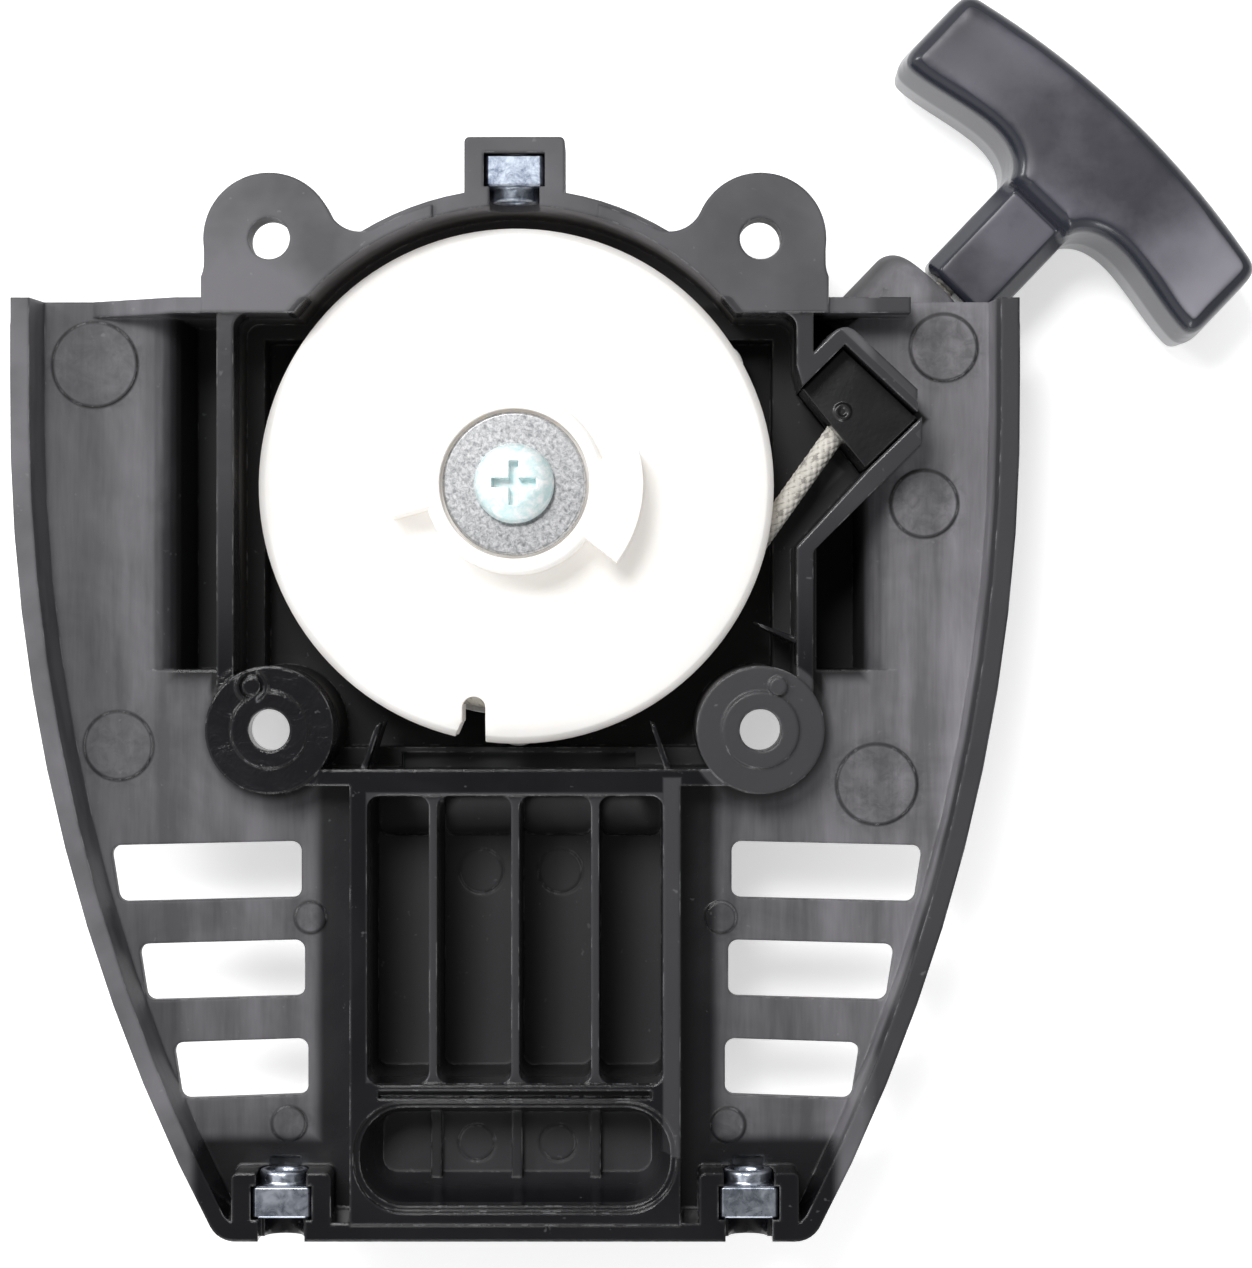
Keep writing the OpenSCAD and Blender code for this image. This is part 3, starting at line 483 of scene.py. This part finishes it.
def nylon_white():
    """White nylon: slightly warm and see-through, with faint turning rings, a faint painted warm glow, and
    painted warm shade along its edges and creases.
    """
    material, tree, shader = start_material("nylon_white")
    shader.inputs["Subsurface Weight"].default_value = 0.25
    shader.inputs["Subsurface Radius"].default_value = (3 * MM, 2.6 * MM, 2 * MM)
    shader.inputs["Subsurface Scale"].default_value = 1.0
    # Painted glow: a faint warm emission stands in for light passing through the nylon
    shader.inputs["Emission Color"].default_value = (1.0, 0.93, 0.86, 1.0)
    shader.inputs["Emission Strength"].default_value = 0.16
    patches = noise(tree, 60.0, 4.0, 0.6, warp=0.6)
    tone = remap(tree, patches, 0.35, 0.65, 0.0, 1.0)
    base = mix_colour(tree, tone, (0.86, 0.845, 0.82), (0.90, 0.89, 0.87))
    # Painted shade: edges and creases are painted a warmer, darker tone
    warm_edge_shade = times(tree, edge_mask(tree, 0.5 * MM, 0.97, 0.80), 0.35)
    tree.links.new(mix_colour(tree, warm_edge_shade, base, (0.62, 0.54, 0.42)), shader.inputs["Base Color"])
    rings = add_node(tree, "ShaderNodeTexWave", wave_type="RINGS", rings_direction="Z")
    rings.inputs["Scale"].default_value = 420.0
    rings.inputs["Distortion"].default_value = 0.6
    tree.links.new(object_point(tree), rings.inputs["Vector"])
    height = plus(tree, times(tree, rings.outputs["Fac"], 0.5), noise(tree, 900.0, 2.0, 0.5))
    add_bump(tree, shader, height, 0.006 * MM)
    tree.links.new(remap(tree, patches, 0.3, 0.7, 0.34, 0.50), shader.inputs["Roughness"])
    return material


def metal(name, dark, light, smooth, rough, blotch, fine, depth=0.006 * MM):
    """Plated or rolled metal: blotches of two tones at blotch per metre, and a fine grain."""
    material, tree, shader = start_material(name)
    shader.inputs["Metallic"].default_value = 1.0
    spots = noise(tree, blotch, 5.0, 0.68, warp=0.7)
    grain = noise(tree, fine, 3.0, 0.6)
    tone = plus(tree, times(tree, spots, 0.75), times(tree, grain, 0.25))
    tone = remap(tree, tone, 0.38, 0.60, 0.0, 1.0)
    tree.links.new(mix_colour(tree, tone, dark, light), shader.inputs["Base Color"])
    tree.links.new(remap(tree, spots, 0.3, 0.7, smooth, rough), shader.inputs["Roughness"])
    add_bump(tree, shader, plus(tree, grain, spots), depth)
    return material


def rope_fibre():
    """Braided cord: cream yarn with darker flecks, and darker down in the hollows between the strands."""
    material, tree, shader = start_material("rope_fibre")
    shader.inputs["Roughness"].default_value = 0.85
    shader.inputs["Sheen Weight"].default_value = 0.3
    weave = add_node(tree, "ShaderNodeAttribute", attribute_name="weave")
    split = add_node(tree, "ShaderNodeSeparateColor")
    tree.links.new(weave.outputs["Color"], split.inputs["Color"])
    hills, yarn = split.outputs["Red"], split.outputs["Green"]
    fibre = noise(tree, 3500.0, 2.0, 0.6)
    cream = mix_colour(tree, fibre, (0.66, 0.62, 0.54), (0.90, 0.88, 0.83))
    # Darker down in the hollows between the strands
    low = mix_colour(tree, remap(tree, hills, 0.10, 0.55, 0.85, 0.0), cream, (0.26, 0.23, 0.20))
    fleck = times(tree, remap(tree, yarn, 0.87, 0.90, 0.0, 1.0), 0.55)
    tree.links.new(mix_colour(tree, fleck, low, (0.13, 0.11, 0.10)), shader.inputs["Base Color"])
    add_bump(tree, shader, fibre, 0.04 * MM)
    return material


# ---- CAD nodes ----

WELD_GAP = 0.004 * MM
SHARP = 0.5


def soften(node, width, segments):
    """Small real rounding of the given width along the node's sharp edges."""
    weld = nodes[node].modifiers.new("weld", "WELD")
    weld.merge_threshold = WELD_GAP
    bevel = nodes[node].modifiers.new("rounding", "BEVEL")
    bevel.width = width
    bevel.segments = segments
    bevel.limit_method = "ANGLE"
    bevel.angle_limit = SHARP
    bevel.use_clamp_overlap = False
    bevel.harden_normals = True


def dress(mesh, material):
    """Gives the whole mesh one material."""
    mesh.materials.clear()
    mesh.materials.append(material)


# ---- Mesh helpers ----

def new_piece(name, mesh, material, body, stands_for):
    """An object of the mesh in place of some CAD nodes; it rides on body, unless that is None."""
    piece = bpy.data.objects.new(name, mesh)
    bpy.context.scene.collection.objects.link(piece)
    dress(mesh, material)
    mesh.shade_smooth()
    if body:
        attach(piece, body)
    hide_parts(*stands_for)
    return piece


def catmull(points, per_span):
    """A smooth line through the points, with per_span steps between neighbours."""
    padded = [2 * points[0] - points[1]] + points + [2 * points[-1] - points[-2]]
    line = []
    for i in range(1, len(padded) - 2):
        a, b, c, d = padded[i - 1:i + 3]
        for k in range(per_span):
            t = k / per_span
            line.append(0.5 * (2 * b + (c - a) * t + (2 * a - 5 * b + 4 * c - d) * t * t
                               + (3 * b - a - 3 * c + d) * t * t * t))
    return line + [points[-1].copy()]


def evenly(line, step):
    """The line cut into equal steps of about step, and its length."""
    lengths = [0.0]
    for a, b in zip(line, line[1:]):
        lengths.append(lengths[-1] + (b - a).length)
    count = max(2, round(lengths[-1] / step))
    places, i = [], 0
    for k in range(count + 1):
        goal = lengths[-1] * k / count
        while i < len(lengths) - 2 and lengths[i + 1] < goal:
            i += 1
        t = (goal - lengths[i]) / max(lengths[i + 1] - lengths[i], 1e-12)
        places.append(line[i].lerp(line[i + 1], t))
    return places, lengths[-1]


# Yarns each way round the braid, and the length along it of one stitch
STRANDS = 8
PICK = 1.35 * MM


def weave_height(turn, along):
    """Height of the braid from 0 to 1, and a number from 0 to 1 for the yarn stitch that shows there."""
    a = STRANDS * turn + along / PICK
    b = STRANDS * turn - along / PICK
    ia, ib = math.floor(a), math.floor(b)
    across, length = (a - ia, b - ib) if (ia + ib) % 2 == 0 else (b - ib, a - ia)
    hill = math.sin(math.pi * across) ** 0.55 * (0.55 + 0.45 * math.sin(math.pi * length))
    stitch = math.sin(ia * 12.9898 + ib * 78.233) * 43758.5453
    return hill, stitch - math.floor(stitch)


def braided_tube(name, line, radius, sides, step, relief):
    """A closed braided tube along the line, its braid as deep as relief, a share of the radius."""
    rings, total = evenly(line, step)
    verts, faces, colours = [], [], []
    across = (rings[1] - rings[0]).orthogonal().normalized()
    for j, centre in enumerate(rings):
        ahead = rings[min(j + 1, len(rings) - 1)] - rings[max(j - 1, 0)]
        ahead.normalize()
        across = (across - ahead * across.dot(ahead)).normalized()
        up = ahead.cross(across)
        for k in range(sides):
            turn = k / sides
            hill, yarn = weave_height(turn, total * j / (len(rings) - 1))
            out = radius * (1 - relief * (1 - hill))
            angle = 2 * math.pi * turn
            verts.append(centre + out * (math.cos(angle) * across + math.sin(angle) * up))
            colours.append((hill, yarn, 0.0, 1.0))
    for j in range(len(rings) - 1):
        for k in range(sides):
            n = (k + 1) % sides
            faces.append((j * sides + k, j * sides + n, (j + 1) * sides + n, (j + 1) * sides + k))
    faces.append(tuple(reversed(range(sides))))
    faces.append(tuple((len(rings) - 1) * sides + k for k in range(sides)))
    mesh = bpy.data.meshes.new(name)
    mesh.from_pydata(verts, [], faces)
    weave = mesh.color_attributes.new("weave", "FLOAT_COLOR", "POINT")
    for item, colour in zip(weave.data, colours):
        item.color = colour
    return mesh


# ---- Rope ----

# The rope's middle line up to the boss: distance along it and height, in millimetres
LEAD_ROUTE = [(9, -12), (16, -12), (23, -12), (27, -12.1), (31, -12.8), (36, -14.2), (41, -15.5),
              (45, -16.3), (49, -16.5), (53, -16.5)]
# From there to the knot: distance into the handle and across it
TAIL_ROUTE = [(1.5, -1.6), (5, -0.7), (9, 0), (16, 0), (24, 0)]
ALONG = Vector((math.cos(HANDLE_ANGLE), math.sin(HANDLE_ANGLE), 0.0))
ACROSS = Vector((math.sin(HANDLE_ANGLE), -math.cos(HANDLE_ANGLE), 0.0))
COIL_INNER = 22.6 * MM
COIL_LAYERS = 3
COIL_STEPS = 48
# Last share of a turn in which the rope climbs to the next row or layer
CLIMB_SHARE = 0.2
KNOT_STEPS = 73


def lead_point(s, z):
    """A point of the rope's straight line, s from its point nearest the reel's axis and at height z."""
    foot = Vector((math.sin(ROPE_ANGLE), -math.cos(ROPE_ANGLE), 0.0)) * ROPE_OFF
    return foot + Vector((math.cos(ROPE_ANGLE) * s, math.sin(ROPE_ANGLE) * s, z)) * MM


def handle_point(along, across, up=0.0):
    """A point in the handle's frame, in millimetres from the middle of the stem's end."""
    return STEM_END + (ALONG * along + ACROSS * across + Vector((0, 0, up))) * MM


def make_rope_run(fibre, knot):
    """The rope from the reel through guide and boss to the knot in the handle, at its real length."""
    points = [lead_point(s, z) for s, z in LEAD_ROUTE] + [handle_point(u, v) for u, v in TAIL_ROUTE]
    line = catmull(points, 12)
    mesh = braided_tube("rope_run", line, ROPE_R, 48, 0.18 * MM, 0.16)
    rope = new_piece("rope_run", mesh, fibre, None, ("rope_lead", "rope_tail"))
    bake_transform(rope)
    path, length = evenly(line, 0.8 * MM)


def make_rope_wound(fibre):
    """The rope on the drum: layers of two turns, each side by side."""
    low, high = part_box("rope_wound")
    rows = (low.z + ROPE_R * 1.12, high.z - ROPE_R * 1.12)
    gap = (high.x - ROPE_R * 1.02 - COIL_INNER) / (COIL_LAYERS - 1)
    line = []
    for layer in range(COIL_LAYERS):
        first, second = rows if layer % 2 == 0 else rows[::-1]
        for climbing in (False, True):
            for k in range(COIL_STEPS):
                angle = 2 * math.pi * k / COIL_STEPS
                share = max(0.0, (k / COIL_STEPS - 1 + CLIMB_SHARE) / CLIMB_SHARE)
                share = share * share * (3 - 2 * share)
                z = second if climbing else first + (second - first) * share
                climb = gap * share if climbing and layer < COIL_LAYERS - 1 else 0.0
                radius = COIL_INNER + gap * layer + climb
                line.append(Vector((radius * math.cos(angle), radius * math.sin(angle), z)))
    mesh = braided_tube("rope_coil", line, ROPE_R * 0.98, 16, 0.5 * MM, 0.14)
    new_piece("rope_coil", mesh, fibre, "reel", ("rope_wound",))


def make_knot(name, node, body, fibre, tube_r):
    """A tight overhand knot that fills the CAD knot's box."""
    low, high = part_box(node)
    centre, size = (low + high) / 2, min(high - low)
    reach = (size / 2 - tube_r) / 3.0
    line = []
    for k in range(KNOT_STEPS):
        t = 2 * math.pi * (k + 0.4) / KNOT_STEPS
        x = math.sin(t) + 2 * math.sin(2 * t)
        y = math.cos(t) - 2 * math.cos(2 * t)
        z = -1.25 * math.sin(3 * t)
        line.append(centre + (ALONG * z * 1.3 + ACROSS * x + Vector((0, 0, y))) * reach)
    mesh = braided_tube(name, line, tube_r, 24, 0.25 * MM, 0.16)
    return new_piece(name, mesh, fibre, body, (node,))


# ---- Handle ----

# In millimetres; depth under the bar's top, and how far its outline is drawn in there
GRIP_LEVELS = [(0.0, 2.9), (0.22, 1.75), (0.95, 0.85), (1.9, 0.45), (8.8, 0.0), (15.4, 0.4),
               (16.6, 0.85), (17.35, 1.8), (17.6, 2.9)]
INNER_SLOPE = 0.085
GRIP_TOP = 8.8
CROWN = 0.8
GRIP_HALF = 28.0
GRIP_OUTER_R = 125.0
GRIP_OUTER_U = 33.7
# The stem's section, and the shares of it from the chamfered end on
STEM_SECTION = [(3.9, 5.7), (5.8, 3.4), (5.8, -3.4), (3.9, -5.7), (-3.9, -5.7), (-5.8, -3.4),
                (-5.8, 3.4), (-3.9, 5.7)]
STEM_LEVELS = [(0.0, 0.86), (0.7, 1.0), (8.0, 1.0), (15.6, 1.0), (22.0, 1.0)]
VOXEL = 0.34 * MM


def bezier(a, b, c, d, steps):
    """A cubic curve in two dimensions, from a to d in equal steps."""
    line = []
    for i in range(steps + 1):
        t = i / steps
        k = (1 - t) ** 3, 3 * t * (1 - t) ** 2, 3 * t * t * (1 - t), t ** 3
        line.append(tuple(sum(w * p[n] for w, p in zip(k, (a, b, c, d))) for n in (0, 1)))
    return line


def grip_half_outline():
    """Half of the bar's outline at its widest, from the outer middle to the web: (along, across)."""
    outer = []
    for i in range(11):
        v = 24.2 * i / 10
        outer.append((GRIP_OUTER_U - GRIP_OUTER_R + math.sqrt(GRIP_OUTER_R ** 2 - v * v), v))
    corner_out = bezier(outer[-1], (31.0, 26.5), (30.4, 27.5), (28.2, 27.6), 7)[1:]
    corner_in = bezier((20.2, 27.6), (17.6, 27.7), (16.5, 26.9), (16.6, 25.2), 7)
    inner = bezier(corner_in[-1], (16.7, 22.0), (18.1, 17.5), (18.5, 13.2), 8)[1:]
    web = bezier(inner[-1], (18.8, 9.6), (17.8, 6.4), (15.0, 5.75), 12)[1:]
    return outer + corner_out + corner_in + inner + web


def inset_loop(points, distance):
    """The closed outline moved in by distance, with mitred corners; it runs anticlockwise."""
    moved = []
    count = len(points)
    for i, here in enumerate(points):
        before, after = Vector(points[i - 1]), Vector(points[(i + 1) % count])
        first = (Vector(here) - before).normalized()
        second = (after - Vector(here)).normalized()
        normal_a, normal_b = Vector((first.y, -first.x)), Vector((second.y, -second.x))
        mitre = (normal_a + normal_b) / max(0.35, 1 + normal_a.dot(normal_b))
        moved.append(Vector(here) - mitre * distance)
    return moved


def ring_solid(rings):
    """A bmesh of stacked rings of equal count, closed with a face at each end."""
    body = bmesh.new()
    layers = [[body.verts.new(p) for p in ring] for ring in rings]
    count = len(rings[0])
    for lower, upper in zip(layers, layers[1:]):
        for k in range(count):
            n = (k + 1) % count
            body.faces.new((lower[k], lower[n], upper[n], upper[k]))
    body.faces.new(list(reversed(layers[0])))
    body.faces.new(layers[-1])
    bmesh.ops.recalc_face_normals(body, faces=body.faces)
    return body


def grip_bar():
    """The curved bar of the T-handle, its top and bottom crowned along its length."""
    half = grip_half_outline()
    outline = half + [(u, -v) for u, v in reversed(half[1:])]
    area = sum(a[0] * b[1] - a[1] * b[0] for a, b in zip(outline, outline[1:] + outline[:1]))
    if area < 0:
        outline.reverse()
    rings = []
    for depth, inset in GRIP_LEVELS:
        slope = INNER_SLOPE * (7.0 - depth)
        rings.append([(p.x + slope * min(1.0, max(0.0, (25.0 - p.x) / 6.0)), p.y, GRIP_TOP - depth)
                      for p in inset_loop(outline, inset)])
    body = ring_solid(rings)
    for i in range(-13, 14):
        bmesh.ops.bisect_plane(body, geom=body.verts[:] + body.edges[:] + body.faces[:], dist=1e-5,
                               plane_co=(0, 2.0 * i, 0), plane_no=(0, 1, 0))
    for vert in body.verts:
        vert.co.z -= CROWN * (vert.co.y / GRIP_HALF) ** 2 * vert.co.z / GRIP_TOP
    return body


def stem_solid():
    """The stem: a bar with a flat top facet, sloping shoulders and a chamfered end."""
    return ring_solid([[(along, y * share, z * share) for y, z in STEM_SECTION]
                       for along, share in STEM_LEVELS])


def to_object(name, body):
    """A scene object of a bmesh that is in the handle's frame, in millimetres."""
    for vert in body.verts:
        vert.co = handle_point(*vert.co)
    bmesh.ops.recalc_face_normals(body, faces=body.faces)
    mesh = bpy.data.meshes.new(name)
    body.to_mesh(mesh)
    body.free()
    piece = bpy.data.objects.new(name, mesh)
    bpy.context.scene.collection.objects.link(piece)
    return piece


def cutter(name, start, end, half_width, half_height, sides=4):
    """A bar along the handle's axis from start to end: square with 4 sides, round with more."""
    if sides == 4:
        section = [(half_width, half_height), (-half_width, half_height), (-half_width, -half_height),
                   (half_width, -half_height)]
    else:
        turns = [2 * math.pi * k / sides for k in range(sides)]
        section = [(half_width * math.cos(turn), half_height * math.sin(turn)) for turn in turns]
    return to_object(name, ring_solid([[(along, y, z) for y, z in section] for along in (start, end)]))


def apply_steps(target):
    """Puts the result of the object's modifiers in place of its mesh."""
    graph = bpy.context.evaluated_depsgraph_get()
    made = bpy.data.meshes.new_from_object(target.evaluated_get(graph))
    target.modifiers.clear()
    target.data = made


def keep_largest(mesh):
    """Drops every loose piece of the mesh but the one with the most vertices."""
    body = bmesh.new()
    body.from_mesh(mesh)
    pieces, seen = [], set()
    for start in body.verts:
        if start in seen:
            continue
        seen.add(start)
        piece, queue = [], [start]
        while queue:
            vert = queue.pop()
            piece.append(vert)
            for edge in vert.link_edges:
                other = edge.other_vert(vert)
                if other not in seen:
                    seen.add(other)
                    queue.append(other)
        pieces.append(piece)
    pieces.sort(key=len)
    for piece in pieces[:-1]:
        bmesh.ops.delete(body, geom=piece, context="VERTS")
    body.to_mesh(mesh)
    body.free()


def combine(target, other, operation):
    """Joins or cuts target with other, which is then removed."""
    step = target.modifiers.new("combine", "BOOLEAN")
    step.operation = operation
    step.solver = "EXACT"
    step.object = other
    apply_steps(target)
    bpy.data.objects.remove(other)


def make_handle(plastic):
    """The T-handle: bar and stem in one, with the rope's bore and knot pocket cut out and edges melted."""
    grip = to_object("t_handle", grip_bar())
    combine(grip, to_object("stem", stem_solid()), "UNION")
    combine(grip, cutter("pocket", 24.0, 36.0, 5.5, 4.6), "DIFFERENCE")
    combine(grip, cutter("bore", -2.0, 25.0, 2.2, 2.2, 32), "DIFFERENCE")
    combine(grip, cutter("mouth", -2.0, 1.2, 3.2, 3.2, 32), "DIFFERENCE")
    even = grip.modifiers.new("even", "REMESH")
    even.mode = "VOXEL"
    even.voxel_size = VOXEL
    even.use_smooth_shade = True
    melt = grip.modifiers.new("melt", "SMOOTH")
    melt.factor = 0.5
    melt.iterations = 5
    apply_steps(grip)
    keep_largest(grip.data)
    dress(grip.data, plastic)
    grip.data.shade_smooth()
    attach(grip, "handle")
    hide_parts("handle_grip")


# ---- Scene ----

make_camera()
make_floor(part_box("housing")[0].z - FLOOR_GAP)
make_world()
for light in LIGHTS:
    area_light(*light)

# Tones from dark to light, roughness from smooth to rough, blotches and grain per metre, and depth
zinc = metal("zinc_plate", (0.70, 0.89, 0.90), (1.0, 1.0, 1.0), 0.58, 0.78, 620.0, 2200.0)
nut_zinc = metal("zinc_nut", (0.34, 0.38, 0.46), (0.60, 0.64, 0.72), 0.22, 0.36, 420.0, 3000.0)
top_zinc = metal("zinc_top_nut", (0.11, 0.13, 0.18), (0.36, 0.40, 0.46), 0.28, 0.44, 520.0, 3000.0)
washer_steel = metal("washer_steel", (0.30, 0.31, 0.32), (0.58, 0.58, 0.59), 0.30, 0.42, 1700.0, 5200.0,
                     0.008 * MM)
cover_steel = metal("sheet_steel", (0.45, 0.46, 0.47), (0.66, 0.66, 0.66), 0.30, 0.42, 120.0, 2500.0)
spring_steel = metal("spring_steel", (0.20, 0.21, 0.24), (0.36, 0.38, 0.42), 0.25, 0.40, 200.0, 2500.0)
eyelet_steel = metal("eyelet_steel", (0.20, 0.20, 0.20), (0.34, 0.34, 0.34), 0.35, 0.50, 350.0, 2500.0)
brass = metal("brass", (0.50, 0.36, 0.16), (0.78, 0.60, 0.30), 0.25, 0.40, 260.0, 2500.0)
nylon = nylon_white()
black_case = plain_black("case_black", (0.016, 0.016, 0.018), (0.030, 0.030, 0.033), 0.40, 0.55, 0.01 * MM)
black_guide = plain_black("guide_black", (0.006, 0.006, 0.007), (0.014, 0.014, 0.015), 0.20, 0.34, 0.02 * MM,
                          gate=(43.7, 9.9))
black_handle = handle_black()
fibre = rope_fibre()

# Material of each CAD node that stays, and the rounding of its edges in millimetres
finishes = {
    "housing": (cover_black(), 0), "rope_guide": (black_guide, 0.3), "guide_eyelet": (eyelet_steel, 0.1),
    "spring_case": (black_case, 0.15), "spring_cover": (cover_steel, 0.08), "case_screws": (zinc, 0.08),
    "rewind_spring": (spring_steel, 0), "thrust_washer": (washer_steel, 0.08),
    "post_insert": (brass, 0.1), "reel": (nylon, 0.15), "reel_bush": (brass, 0.1),
    "retaining_washer": (washer_steel, 0.08), "center_screw": (zinc, 0.12),
    "handle_washer": (washer_steel, 0.1), "top_nut": (top_zinc, 0.5), "left_nut": (nut_zinc, 0.5),
    "right_nut": (nut_zinc, 0.5),
}
for node, (material, rounding) in finishes.items():
    dress(nodes[node].data, material)
    if rounding:
        soften(node, rounding * MM, 3 if material in (nut_zinc, top_zinc) else 2)

make_rope_run(fibre, make_knot("handle_knot_tied", "handle_knot", "handle", fibre, 1.2 * MM))
make_rope_wound(fibre)
make_knot("reel_knot_tied", "reel_knot", "reel", fibre, 0.9 * MM)
make_handle(black_handle)
